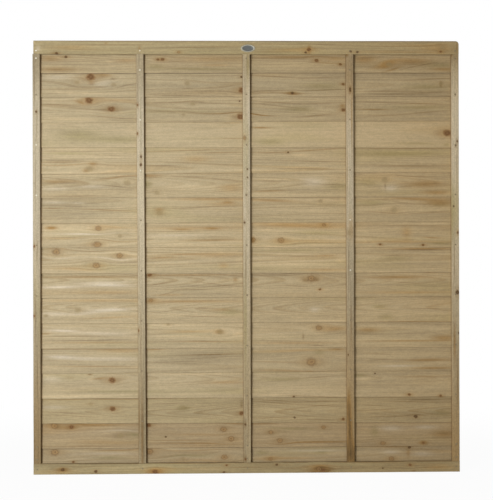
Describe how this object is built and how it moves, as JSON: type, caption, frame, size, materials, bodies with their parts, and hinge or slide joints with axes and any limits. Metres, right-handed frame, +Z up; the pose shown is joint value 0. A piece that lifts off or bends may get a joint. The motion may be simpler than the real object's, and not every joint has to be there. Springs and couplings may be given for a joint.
{
  "type": "lap fence panel",
  "caption": "Upright timber fence panel of overlapping horizontal boards nailed between a front and a back frame of battens and rails.",
  "frame": {"origin": "middle of the panel's underside, where the bottom rails stand on the ground", "axes": "+Z up the panel, +X along it to the right as seen from the front, and the front faces -Y"},
  "size_m": [1.828, 0.0474, 1.855],
  "materials": {
    "board_timber": "sawn pressure-treated softwood, pale olive tan",
    "batten_timber": "rough-sawn pressure-treated softwood, paler",
    "rail_timber": "sawn pressure-treated softwood",
    "nail_steel": "galvanised, dull",
    "plate_metal": "satin rim with a dark slate field"
  },
  "bodies": {
    "root": {"lap_board_01": "board_timber", "lap_board_02": "board_timber", "lap_board_03": "board_timber", "lap_board_04": "board_timber", "lap_board_05": "board_timber", "lap_board_06": "board_timber", "lap_board_07": "board_timber", "lap_board_08": "board_timber", "lap_board_09": "board_timber", "lap_board_10": "board_timber", "lap_board_11": "board_timber", "lap_board_12": "board_timber", "lap_board_13": "board_timber", "lap_board_14": "board_timber", "lap_board_15": "board_timber", "lap_board_16": "board_timber", "lap_board_17": "board_timber", "front_batten_1": "batten_timber", "front_batten_2": "batten_timber", "front_batten_3": "batten_timber", "front_batten_4": "batten_timber", "front_batten_5": "batten_timber", "back_batten_1": "batten_timber", "back_batten_2": "batten_timber", "back_batten_3": "batten_timber", "back_batten_4": "batten_timber", "back_batten_5": "batten_timber", "front_top_rail": "rail_timber", "front_bottom_rail": "rail_timber", "back_top_rail": "rail_timber", "back_bottom_rail": "rail_timber", "batten_nails": "nail_steel", "rail_nails": "nail_steel", "name_plate": "plate_metal"}
  },
  "joints": []
}
